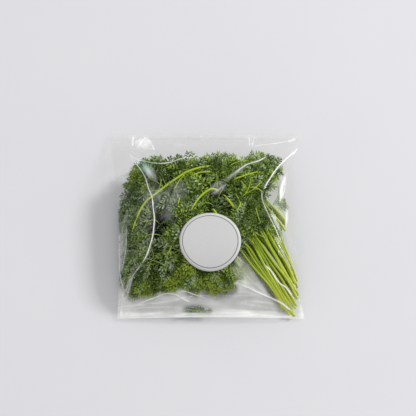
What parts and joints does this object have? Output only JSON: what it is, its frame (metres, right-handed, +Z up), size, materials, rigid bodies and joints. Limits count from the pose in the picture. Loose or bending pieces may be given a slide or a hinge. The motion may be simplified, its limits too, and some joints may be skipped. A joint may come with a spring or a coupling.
{
  "type": "bunch of chervil in a clear bag",
  "caption": "Bunch of fresh chervil with fine divided leaves and slim cut stems, in a sealed clear film pillow bag with a plain round paper label, lying flat.",
  "frame": {"origin": "on the surface that the bag lies on, under the middle of the bag", "axes": "+X to the right, +Y towards the top seam of the bag, +Z up, out through the front film and the label"},
  "size_m": [0.164, 0.172, 0.036],
  "materials": {
    "film": "gloss",
    "label_paper": "satin",
    "leaf": "satin",
    "stem": "satin"
  },
  "bodies": {
    "root": {"back_film": "film", "front_film": "film", "label": "label_paper", "sprig_01": "leaf", "sprig_02": "leaf", "sprig_03": "leaf", "sprig_04": "leaf", "sprig_05": "leaf", "sprig_06": "leaf", "sprig_07": "leaf", "sprig_08": "leaf", "sprig_09": "leaf", "sprig_10": "leaf", "sprig_11": "leaf", "sprig_12": "leaf", "sprig_13": "leaf", "sprig_14": "leaf", "sprig_15": "leaf", "sprig_16": "leaf", "sprig_17": "leaf", "sprig_18": "leaf", "sprig_19": "leaf", "sprig_20": "leaf", "sprig_21": "leaf", "sprig_22": "leaf", "sprig_23": "leaf", "sprig_24": "leaf", "sprig_25": "leaf", "sprig_26": "leaf", "sprig_27": "leaf", "sprig_28": "leaf", "sprig_29": "leaf", "sprig_30": "leaf"}
  },
  "joints": []
}
